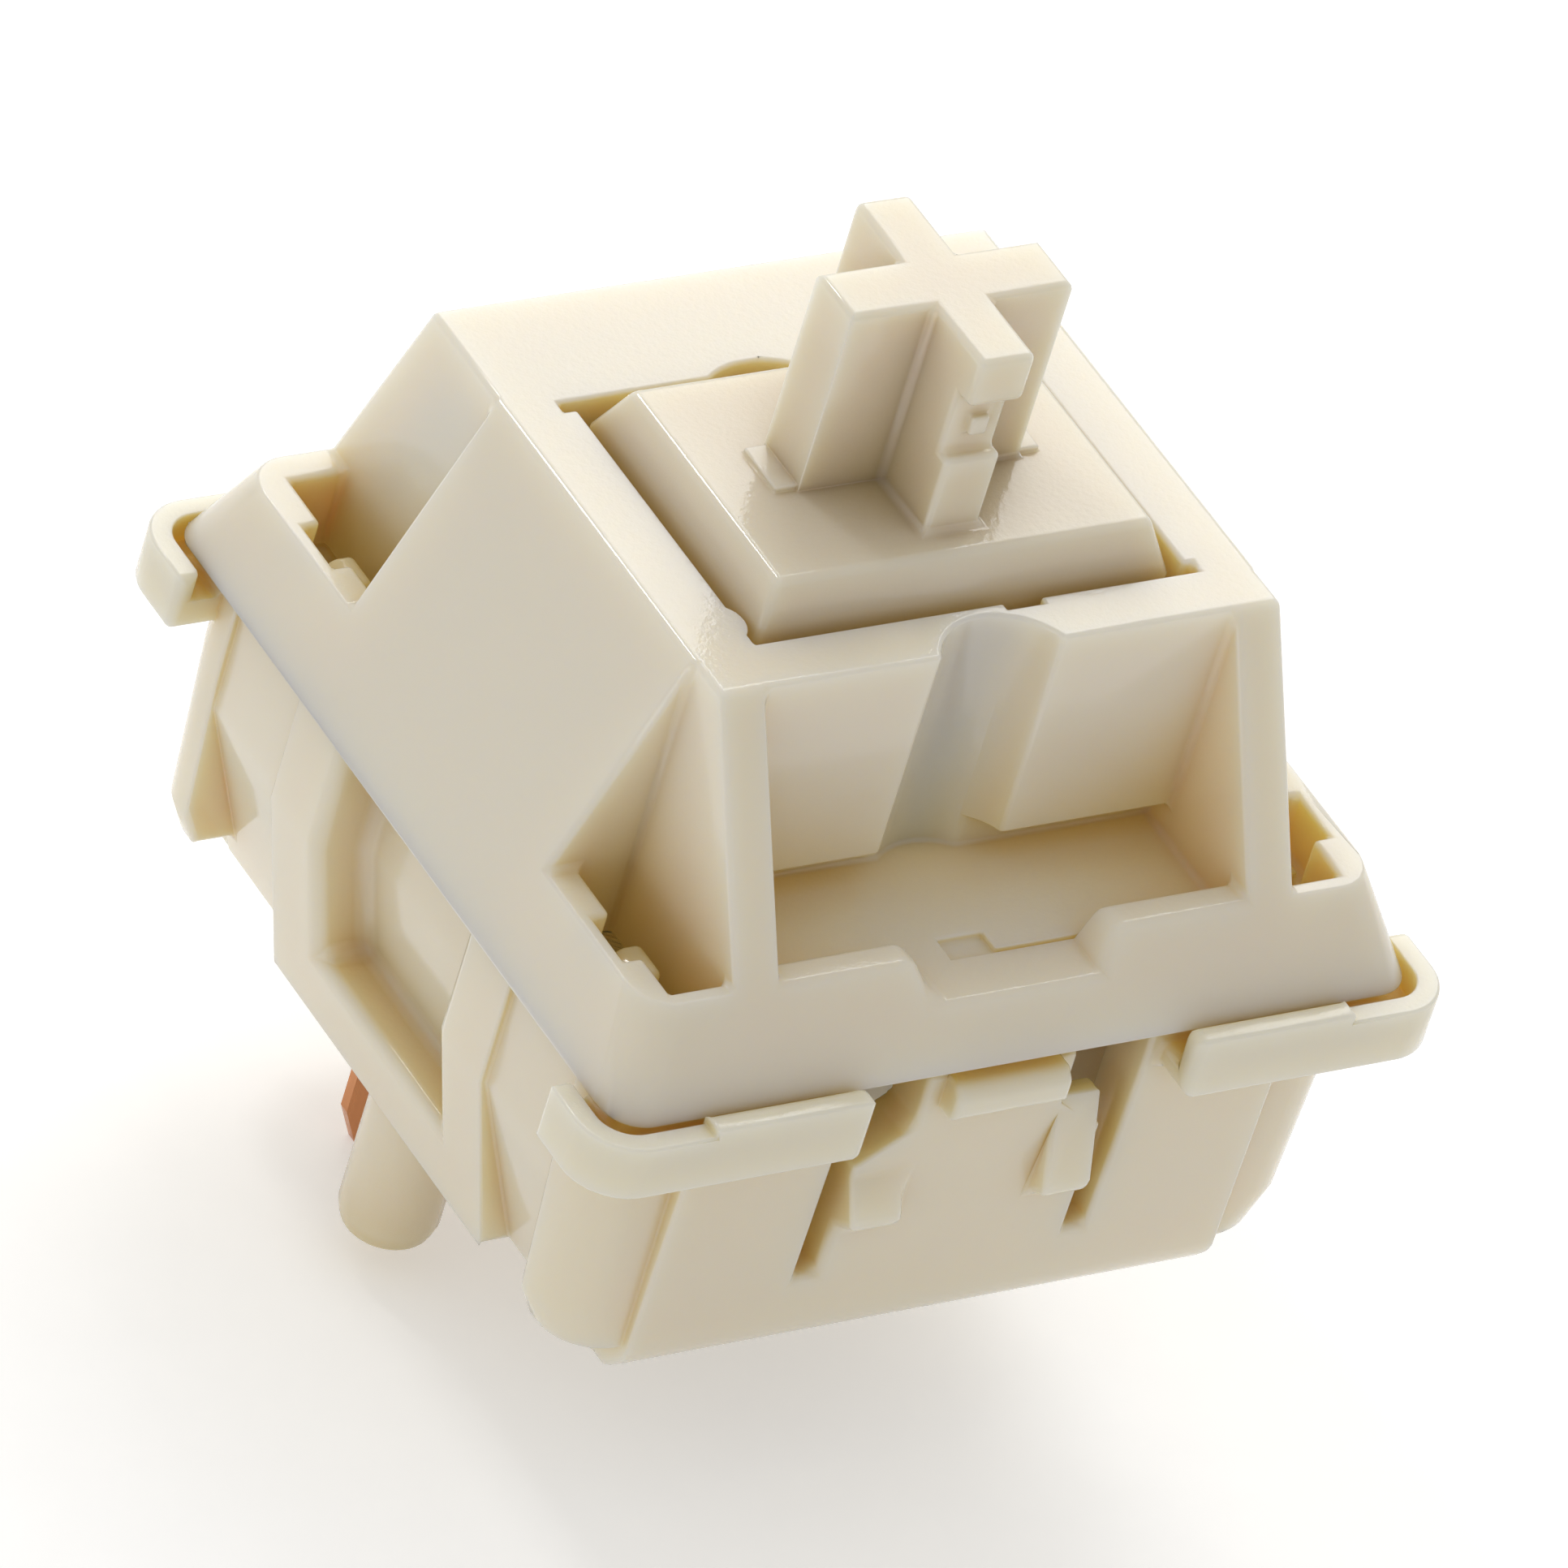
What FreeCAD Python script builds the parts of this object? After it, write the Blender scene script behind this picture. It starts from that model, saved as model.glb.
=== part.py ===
import FreeCAD, Part
import math
import os
import re

import Sketcher

# Lengths are in millimetres and angles in degrees.
# The origin is the middle of the circuit-board seat, on the centre post's axis.
# +Z is the way the key stem rises, and the lamp slot faces -Y.

SIZES = {
    # Bottom housing, outside
    "body_half": 6.95,
    "wall_top": 5.95,
    "side_taper_top": 3.6,
    "frame_half": 3.45,
    "frame_taper": 1.0,
    "panel_taper": 1.55,
    "column_wide": 1.55,
    "column_deep": 0.63,
    "column_foot": 0.7,
    "column_knee": 1.3,
    "column_lean": 0.2,
    "column_toe": 0.5,
    "panel_back": 0.12,
    "front_draft": 0.1,
    "front_chamfer": 0.5,
    "column_step": 0.27,
    "column_radius": 0.85,
    "recess_half": 2.0,
    "recess_share": 0.49,
    "recess_wall": 0.35,
    "recess_lip": 1.36,
    # Flange that stops on the plate
    "flange_out": 0.85,
    "flange_under": 5.0,
    "flange_top": 6.0,
    "flange_corner": 0.95,
    "flange_gap": 2.9,
    "flange_reach": 1.8,
    "rim_wall": 0.38,
    "rim_floor": 5.5,
    "rim_step": 0.15,
    "rim_step_wide": 0.45,
    "rim_step_end": 2.0,
    # Bottom housing, inside
    "floor_top": 1.0,
    "cavity_half": 5.0,
    "cavity_front": 2.95,
    "cavity_back": 5.25,
    "lamp_wall": 0.4,
    "lower_front": 2.35,
    "step_low": 4.8,
    "chamber_half": 2.9,
    "chamber_share": 0.412,
    "tube_wall": 0.5,
    "tube_top": 5.2,
    "bore_depth": 2.2,
    "rib_reach": 0.9,
    "rib_thick": 0.5,
    "shaft_floor": 2.5,
    "shaft_near": 3.4,
    "shaft_inset": 0.1,
    "shaft_share": 0.513,
    # Latch arms
    "arm_thick": 0.55,
    "arm_near": 4.3,
    "arm_far": 5.05,
    "arm_top": 6.9,
    "hook_low": 6.55,
    "hook_reach": 0.3,
    # Plate clips
    "window_half": 2.67,
    "window_low": 1.65,
    "tongue_half": 2.25,
    "tongue_neck": 1.35,
    "neck_low": 3.9,
    "neck_high": 4.5,
    "tongue_top": 5.6,
    "nub_inner": 1.25,
    "nub_outer": 2.1,
    "nub_low": 2.6,
    "nub_edge": 2.9,
    "nub_high": 4.6,
    "nub_short": 3.85,
    "nub_out": 0.4,
    "head_low": 4.95,
    "head_half": 1.05,
    "head_out": 0.45,
    "head_chamfer": 0.2,
    # Posts under the housing
    "post_radius": 2.0,
    "post_depth": 3.3,
    "post_chamfer": 0.3,
    "peg_radius": 0.825,
    "peg_place": 5.08,
    "peg_depth": 2.8,
    # Top housing
    "skirt_out": 0.35,
    "back_out": 0.1,
    "skirt_corner": 0.8,
    "roof_top": 11.4,
    "roof_front": 3.9,
    "roof_back": 5.36,
    "roof_thick": 0.8,
    "ledge_top": 7.5,
    "pillar_wall": 0.48,
    "notch_front": 3.1,
    "notch_back": 3.25,
    "pocket_share": 0.45,
    "pocket_trim": 0.03,
    "pocket_extra": 0.2,
    "slot_deep": 0.34,
    "slot_near": 4.2,
    "slot_far": 5.2,
    "slot_floor": 6.5,
    "pillar_wide": 0.83,
    "tab_wall": 1.5,
    "tray_floor": 6.88,
    "tray_under": 6.28,
    "undercut_top": 7.45,
    "undercut_deep": 0.5,
    "tab_gap": 1.5,
    "tab_lean": 0.3,
    "seam_west": 0.7,
    "seam_middle": 0.13,
    "seam_east": 1.75,
    "seam_wide": 0.07,
    "pocket_wide": 0.48,
    "seam_deep": 0.12,
    "lamp_radius": 1.2,
    "lamp_place": 4.35,
    "opening_gap": 0.19,
    "opening_front": 2.95,
    "opening_back": 2.95,
    "relief_out": 0.2,
    "relief_wide": 0.22,
    "relief_near": 0.54,
    "relief_far": 1.22,
    "relief_deep": 0.14,
    "arc_place": 0.6,
    "arc_radius": 1.41,
    "arc_deep": 0.25,
    "bump_place": 2.4,
    "bump_radius": 0.45,
    "hollow_gap": 0.3,
    "hollow_back": 4.6,
    "hollow_panel": 2.5,
    "side_wall": 0.8,
    "back_wall": 1.0,
    # Stem
    "cross_half": 2.0,
    "cross_wide": 1.1,
    "cross_thin": 1.0,
    "stem_top": 15.5,
    "platform_top": 12.08,
    "platform_slope": 0.36,
    "platform_front": 2.4,
    "platform_back": 2.25,
    "neck_top": 11.2,
    "shoulder_lip": 0.54,
    "neck_front": 2.75,
    "neck_back": 2.6,
    "shoulder_low": 9.3,
    "shoulder_gap": 0.7,
    "shoulder_front": 2.8,
    "shoulder_back": 2.7,
    "nose_low": 14.6,
    "nose_recess": 0.35,
    "pip_half": 0.16,
    "pip_low": 13.85,
    "pip_high": 14.2,
    "pip_out": 0.15,
    "block_top": 13.5,
    "block_back": 0.1,
    "pad_outer": 2.4,
    "pad_half": 0.5,
    "pad_rise": 0.1,
    "rail_gap": 0.5,
    "rail_deep": 0.9,
    "rail_half": 0.75,
    "rail_low": 5.9,
    "pole_radius": 1.05,
    "pole_low": 1.9,
    "leg_inner": 0.9,
    "leg_outer": 1.7,
    "leg_back": 2.75,
    "leg_face": 3.4,
    "leg_low": 5.7,
    "cam_low": 6.4,
    "cam_fall": 0.51,
    "travel": 4.0,
    # Return spring
    "coil_radius": 1.95,
    "wire_radius": 0.15,
    "coil_turns": 11,
    "seat_gap": 0.01,
    # Contacts
    "sheet_thick": 0.2,
    "pin_width": 1.3,
    "pin_depth": 3.3,
    "pin_point": 0.7,
    "west_pin_x": -3.81,
    "west_pin_y": 2.54,
    "east_pin_x": 2.54,
    "east_pin_y": 5.08,
    "plate_gap": 0.54,
    "fixed_top": 2.6,
    "tongue_wide": 0.6,
    "tongue_shift": 0.61,
    "tongue_rise": 0.8,
    "fixed_tip": 5.2,
    "terminal_inner": 1.2,
    "terminal_outer": 4.2,
    "terminal_top": 5.5,
    "terminal_foot": 1.8,
    "foot_top": 2.3,
    "leaf_half": 1.8,
    "leaf_thick": 0.12,
    "leaf_root_y": 4.9,
    "leaf_root_z": 2.0,
    "leaf_lean": 0.315,
    "knee_z": 6.4,
    "lip_back": 0.25,
    "lip_rise": 0.4,
    "bead_z": 5.0,
    "bead_radius": 0.3,
    "fixed_bead": 0.15,
    "moving_bead": 0.14,
    # Clearances
    "running_gap": 0.05,
    "slip_gap": 0.03,
}

# Lengths that follow from the ones above, so that neighbours keep their walls and clearances.
TIES = {
    "flange_half": "body_half + flange_out",
    "flange_side": "flange_half - flange_reach",
    "rim_inner": "flange_half - rim_wall",
    "rim_step_inner": "flange_half - rim_step_wide",
    "rim_step_far": "flange_half - rim_step_end",
    "front_low": "body_half - front_draft",
    "front_half": "body_half - column_wide",
    "column_back": "body_half - column_step",
    "column_near": "column_back - column_deep",
    "panel_half": "body_half - panel_back",
    "frame_foot": "body_half - frame_taper",
    "panel_foot": "body_half - panel_taper",
    "recess_back": "cavity_half + recess_share * (body_half - cavity_half)",
    "recess_low": "cavity_half + recess_wall",
    "chamber_far": "cavity_back + chamber_share * (body_half - cavity_back)",
    "shaft_outer": "cavity_half + shaft_share * (body_half - cavity_half)",
    "shaft_far": "shaft_outer - shaft_inset",
    "arm_inner": "shaft_outer - arm_thick",
    "hook_outer": "shaft_outer + hook_reach",
    "rib_inner": "cavity_half - rib_reach",
    "fixed_far": "cavity_half - plate_gap",
    "rail_outer": "cavity_half - rail_gap",
    "rail_inner": "rail_outer - rail_deep",
    "shoulder_half": "cavity_half - shoulder_gap",
    "neck_half": "shoulder_half - shoulder_lip",
    "platform_half": "neck_half - platform_slope",
    "opening_half": "neck_half + opening_gap",
    "bump_middle": "neck_half + running_gap + bump_radius",
    "hollow_half": "shoulder_half + hollow_gap",
    "notch_side": "hollow_half + pillar_wall",
    "pillar_inner": "notch_side - pillar_wide",
    "skirt_half": "body_half + skirt_out",
    "skirt_back": "skirt_half + back_out",
    "tray_front": "skirt_half - tab_wall",
    "pocket_outer": "notch_side + pocket_share * (skirt_half - notch_side)",
    "pocket_front": "pocket_outer - pocket_trim",
    "pocket_back": "pocket_outer + pocket_extra",
    "slot_outer": "pocket_outer + slot_deep",
}

WORD = re.compile(r"[a-z]+(?:_[a-z]+)+|travel")
NORMALS = {"x": "YZ_Plane", "y": "XZ_Plane", "z": "XY_Plane"}

doc = FreeCAD.newDocument("KeySwitch")
sheet = doc.addObject("Spreadsheet::Sheet", "Sizes")
for row, (word, number) in enumerate(SIZES.items(), start=1):
    sheet.set(f"A{row}", word)
    sheet.set(f"B{row}", str(number))
    sheet.setAlias(f"B{row}", word)
doc.recompute()


def bound(text):
    """Turn a formula of size names into one that the document reads."""
    def meaning(found):
        word = found.group()
        return f"({bound(TIES[word])})" if word in TIES else "Sizes." + word

    return WORD.sub(meaning, text)


def size(word):
    """Give the number that the sheet holds for one size."""
    return float(sheet.get(word))


def new_body(label):
    """Make an empty body with its label."""
    body = doc.addObject("PartDesign::Body", label)
    body.Label = label
    return body


def draw(body, name, axis, level, outlines):
    """Draw closed outlines on a plane of the body, each corner held by two formulas."""
    role = NORMALS[axis]
    sketch = body.newObject("Sketcher::SketchObject", name)
    origin = next(plane for plane in body.Origin.OriginFeatures if plane.Role == role)
    sketch.AttachmentSupport = [(origin, "")]
    sketch.MapMode = "FlatFace"
    sketch.setExpression("AttachmentOffset.Base.z", bound(level))
    for outline in outlines:
        first = sketch.GeometryCount
        count = len(outline)
        turn = 2 * math.pi / count
        guess = [(math.cos(turn * i), math.sin(turn * i)) for i in range(count)]
        points = [FreeCAD.Vector(across, up, 0) for across, up in guess]
        for i in range(count):
            sketch.addGeometry(Part.LineSegment(points[i], points[(i + 1) % count]), False)
        for i in range(count):
            joined = Sketcher.Constraint("Coincident", first + i, 2, first + (i + 1) % count, 1)
            sketch.addConstraint(joined)
        for i, corner in enumerate(outline):
            for kind, start, formula in zip(("DistanceX", "DistanceY"), guess[i], corner):
                held = Sketcher.Constraint(kind, -1, 1, first + i, 1, start)
                index = sketch.addConstraint(held)
                sketch.setExpression(f"Constraints[{index}]", bound(formula))
    return sketch


def extrude(body, name, axis, low, high, outlines, kind):
    """Pad or pocket outlines from low to high along an axis."""
    level = f"-({high})" if axis == "y" else low
    feature = body.newObject(kind, name)
    feature.Profile = draw(body, name + "_outline", axis, level, outlines)
    feature.setExpression("Length", bound(f"({high}) - ({low})"))
    return feature


def add(body, name, axis, low, high, *outlines):
    """Add a prism to the body."""
    return extrude(body, name, axis, low, high, outlines, "PartDesign::Pad")


def take(body, name, axis, low, high, *outlines):
    """Take a prism out of the body."""
    feature = extrude(body, name, axis, low, high, outlines, "PartDesign::Pocket")
    feature.Reversed = True
    return feature


def spin(body, name, kind, x, y, outline):
    """Turn an outline of (radius, height) corners round an upright line at x, y."""
    shifted = [(f"({x}) + ({radius})", height) for radius, height in outline]
    sketch = draw(body, name + "_outline", "y", f"-({y})", [shifted])
    axis = sketch.addGeometry(Part.LineSegment(FreeCAD.Vector(0, 0, 0), FreeCAD.Vector(0, 1, 0)), True)
    for end in (1, 2):
        index = sketch.addConstraint(Sketcher.Constraint("DistanceX", -1, 1, axis, end, 0))
        sketch.setExpression(f"Constraints[{index}]", bound(x))
        sketch.addConstraint(Sketcher.Constraint("DistanceY", -1, 1, axis, end, end - 1))
    feature = body.newObject(kind, name)
    feature.Profile = sketch
    feature.ReferenceAxis = (sketch, ["Axis0"])
    feature.Angle = 360
    return feature


def roll(body, name, y, z, radius, low, high):
    """Add a round bar along X, from low to high."""
    sketch = body.newObject("Sketcher::SketchObject", name + "_outline")
    origin = next(plane for plane in body.Origin.OriginFeatures if plane.Role == NORMALS["x"])
    sketch.AttachmentSupport = [(origin, "")]
    sketch.MapMode = "FlatFace"
    sketch.setExpression("AttachmentOffset.Base.z", bound(low))
    middle = FreeCAD.Vector(1, 1, 0)
    ring = sketch.addGeometry(Part.Circle(middle, FreeCAD.Vector(0, 0, 1), 1), False)
    held = [
        (Sketcher.Constraint("DistanceX", -1, 1, ring, 3, 1), y),
        (Sketcher.Constraint("DistanceY", -1, 1, ring, 3, 1), z),
        (Sketcher.Constraint("Radius", ring, 1), radius),
    ]
    for constraint, formula in held:
        index = sketch.addConstraint(constraint)
        sketch.setExpression(f"Constraints[{index}]", bound(formula))
    bar = body.newObject("PartDesign::Pad", name)
    bar.Profile = sketch
    bar.setExpression("Length", bound(f"({high}) - ({low})"))
    return bar


def rectangle(left, low, right, high):
    """Give the four corners of an upright rectangle."""
    return [(left, low), (right, low), (right, high), (left, high)]


def both(left, low, right, high):
    """Give a rectangle and its mirror across the second axis of the sketch."""
    return [
        rectangle(left, low, right, high),
        rectangle(f"-({right})", low, f"-({left})", high),
    ]


def mirrored(outline):
    """Give an outline and its mirror across the second axis of the sketch."""
    return [outline, [(f"-({across})", up) for across, up in reversed(outline)]]


def four(left, low, right, high):
    """Give a rectangle in each quarter of the sketch."""
    return both(left, low, right, high) + both(left, f"-({high})", right, f"-({low})")


def round_upright(body, name, radius, count):
    """Round the rising edges that stand farthest out, as many as count says."""
    doc.recompute()
    before = body.Tip
    rising = {}
    for number, edge in enumerate(before.Shape.Edges, start=1):
        if edge.BoundBox.ZLength > 0.3 and isinstance(edge.Curve, Part.Line):
            middle = edge.CenterOfMass
            rising[f"Edge{number}"] = abs(middle.x) + abs(middle.y)
    feature = body.newObject("PartDesign::Fillet", name)
    feature.Base = (before, sorted(rising, key=rising.get)[-count:])
    feature.setExpression("Radius", bound(radius))
    return feature


def tapered(foot, half):
    """Give the end view of two opposite walls that lean in to their feet."""
    return [
        (foot, "0"),
        (half, "side_taper_top"),
        (half, "wall_top"),
        (f"-{half}", "wall_top"),
        (f"-{half}", "side_taper_top"),
        (f"-{foot}", "0"),
    ]


def add_clip(body, side):
    """Cut the plate clip's tongue free in the front or back wall and add what stands on it."""
    name = "front" if side < 0 else "back"
    wall = ("-body_half - 0.01", "-chamber_far") if side < 0 else ("chamber_far", "body_half + 0.01")
    edge = [
        ("tongue_neck", "tongue_top"),
        ("tongue_neck", "neck_high"),
        ("tongue_half", "neck_low"),
        ("tongue_half", "window_low"),
        ("window_half", "window_low"),
        ("window_half", "wall_top"),
    ]
    slit = edge + [(f"-({across})", up) for across, up in reversed(edge)]
    take(body, name + "_slits", "y", *wall, slit)
    sign = "-" if side < 0 else ""
    for place, left, right, high in (
        ("east", "nub_inner", "nub_outer", "nub_high"),
        ("west", "-tongue_half", "-nub_inner", "nub_short"),
    ):
        nub = [
            (f"{sign}(front_low - 0.3)", "nub_low"),
            (f"{sign}front_low", "nub_low"),
            (f"{sign}(body_half + nub_out)", "nub_edge"),
            (f"{sign}front_low", high),
            (f"{sign}(front_low - 0.3)", high),
        ]
        add(body, f"{name}_nub_{place}", "x", left, right, nub)
    head = [
        (f"{sign}(front_low - 0.3)", "head_low"),
        (f"{sign}(body_half + head_out)", "head_low"),
        (f"{sign}(body_half + head_out)", "tongue_top - head_chamfer"),
        (f"{sign}(body_half + head_out - head_chamfer)", "tongue_top"),
        (f"{sign}(front_low - 0.3)", "tongue_top"),
    ]
    add(body, name + "_head", "x", "-head_half", "head_half", head)


def build_bottom_housing():
    """Mould the box that fits the plate, with its flange, clips, posts and inner guides."""
    body = new_body("bottom_housing")
    column = [
        ("front_half - column_toe", "column_foot"),
        ("body_half - column_toe", "column_foot"),
        ("body_half - column_lean", "column_knee"),
        ("body_half", "neck_high"),
        ("body_half", "wall_top"),
        ("front_half - column_toe", "wall_top"),
    ]
    corner_posts = mirrored(column)
    add(body, "back_columns", "y", "column_near - column_toe", "column_back", *corner_posts)
    add(body, "front_columns", "y", "-column_back", "column_toe - column_near", *corner_posts)
    round_upright(body, "columns", "column_radius", 12)
    add(body, "side_panels", "y", "-column_near", "column_near", tapered("panel_foot", "panel_half"))
    add(body, "side_frames", "y", "-frame_half", "frame_half", tapered("frame_foot", "body_half"))
    front = [
        ("body_half - front_chamfer - 0.1", "0"),
        ("front_low", "front_chamfer"),
        ("body_half", "flange_under"),
        ("body_half", "wall_top"),
        ("-body_half", "wall_top"),
        ("-body_half", "flange_under"),
        ("-front_low", "front_chamfer"),
        ("-(body_half - front_chamfer - 0.1)", "0"),
    ]
    add(body, "front_and_back", "x", "-front_half", "front_half", front)
    recess = [
        ("recess_low", "recess_lip"),
        ("body_half + 0.01", "recess_lip"),
        ("body_half + 0.01", "wall_top"),
        ("recess_back", "wall_top"),
        ("recess_back", "side_taper_top"),
    ]
    take(body, "side_recesses", "y", "-recess_half", "recess_half", *mirrored(recess))
    corner = [
        ("flange_gap", "front_low - 0.3"),
        ("flange_gap", "flange_half"),
        ("flange_half", "flange_half"),
        ("flange_half", "flange_side"),
        ("body_half - 0.5", "flange_side"),
        ("body_half - 0.9", "front_low - 0.3"),
    ]
    below = [(across, f"-({up})") for across, up in reversed(corner)]
    add(body, "flange", "z", "flange_under", "flange_top", *mirrored(corner), *mirrored(below))
    round_upright(body, "flange_corners", "flange_corner", 4)
    inner = rectangle("-rim_inner", "-rim_inner", "rim_inner", "rim_inner")
    take(body, "rim_inside", "z", "wall_top", "flange_top", inner)
    rings = four("flange_gap - 0.01", "body_half", "rim_inner", "rim_inner")
    rings += four("body_half", "flange_side - 0.01", "rim_inner", "body_half")
    take(body, "rim_groove", "z", "rim_floor", "wall_top", *rings[:4])
    take(body, "rim_groove_sides", "z", "rim_floor", "wall_top", *rings[4:])
    round_upright(body, "rim_corners", "flange_corner - rim_wall", 4)
    steps = four("flange_gap", "rim_step_inner", "rim_step_far", "flange_half")
    add(body, "rim_steps", "z", "rim_floor - 0.01", "flange_top + rim_step", *steps)

    cavity = rectangle("-cavity_half", "-lower_front", "cavity_half", "cavity_back")
    take(body, "cavity", "z", "floor_top", "wall_top", cavity)
    wider = rectangle("-cavity_half", "-cavity_front", "cavity_half", "-lower_front + 0.01")
    take(body, "cavity_step", "z", "tube_top", "wall_top", wider)
    lamp = rectangle("-chamber_half", "-chamber_far", "chamber_half", "-lower_front - lamp_wall")
    take(body, "lamp_chamber", "z", "0", "step_low", lamp)
    above = rectangle("-chamber_half", "-chamber_far", "chamber_half", "-cavity_front - lamp_wall")
    take(body, "lamp_mouth", "z", "step_low - 0.01", "wall_top", above)
    behind = rectangle("-chamber_half", "cavity_back - 0.01", "chamber_half", "chamber_far")
    take(body, "back_chamber", "z", "floor_top", "wall_top", behind)
    shafts = both("cavity_half - 0.5", "-shaft_far", "shaft_outer", "-shaft_near")
    shafts += both("cavity_half - 0.01", "shaft_near", "shaft_outer", "shaft_far")
    take(body, "latch_shafts", "z", "shaft_floor", "wall_top", *shafts)
    groove = "rail_half + running_gap"
    ribs = four("rib_inner", groove, "cavity_half + 0.1", groove + " + rib_thick")
    add(body, "guide_ribs", "z", "floor_top - 0.1", "tube_top", *ribs)
    arm = [
        ("arm_inner", "shaft_floor - 0.1"),
        ("shaft_outer + 0.05", "shaft_floor - 0.1"),
        ("shaft_outer + 0.05", "wall_top"),
        ("shaft_outer - 0.05", "wall_top"),
        ("shaft_outer - 0.05", "hook_low"),
        ("hook_outer", "hook_low"),
        ("arm_inner + 0.3", "arm_top"),
        ("arm_inner", "arm_top"),
    ]
    add(body, "back_latch_arms", "y", "arm_near", "arm_far", *mirrored(arm))
    add(body, "front_latch_arms", "y", "-arm_far", "-arm_near", *mirrored(arm))
    add_clip(body, -1)
    add_clip(body, 1)

    bore = "pole_radius + running_gap"
    tube = [
        ("0", "floor_top - 0.1"),
        (bore + " + tube_wall", "floor_top - 0.1"),
        (bore + " + tube_wall", "tube_top"),
        ("0", "tube_top"),
    ]
    spin(body, "tube", "PartDesign::Revolution", "0", "0", tube)
    post = [
        ("0", "-post_depth"),
        ("post_radius - post_chamfer", "-post_depth"),
        ("post_radius", "post_chamfer - post_depth"),
        ("post_radius", "floor_top - 0.1"),
        ("0", "floor_top - 0.1"),
    ]
    spin(body, "centre_post", "PartDesign::Revolution", "0", "0", post)
    peg = [
        ("0", "-peg_depth"),
        ("peg_radius * 0.55", "-peg_depth"),
        ("peg_radius * 0.9", "peg_radius * 0.25 - peg_depth"),
        ("peg_radius", "peg_radius * 0.6 - peg_depth"),
        ("peg_radius", "floor_top - 0.1"),
        ("0", "floor_top - 0.1"),
    ]
    spin(body, "east_peg", "PartDesign::Revolution", "peg_place", "0", peg)
    spin(body, "west_peg", "PartDesign::Revolution", "-peg_place", "0", peg)
    hole = [("0", "-bore_depth"), (bore, "-bore_depth"), (bore, "tube_top + 0.1"), ("0", "tube_top + 0.1")]
    spin(body, "pole_bore", "PartDesign::Groove", "0", "0", hole)
    half_wide = "pin_width / 2 + slip_gap"
    half_thick = "sheet_thick / 2 + slip_gap"
    slots = []
    for place in ("west", "east"):
        left, right = (f"{place}_pin_x {sign} ({half_wide})" for sign in "-+")
        near, far = (f"{place}_pin_y {sign} ({half_thick})" for sign in "-+")
        slots.append(rectangle(left, near, right, far))
    take(body, "pin_slots", "z", "-0.01", "floor_top + 0.01", *slots)
    return body


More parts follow.
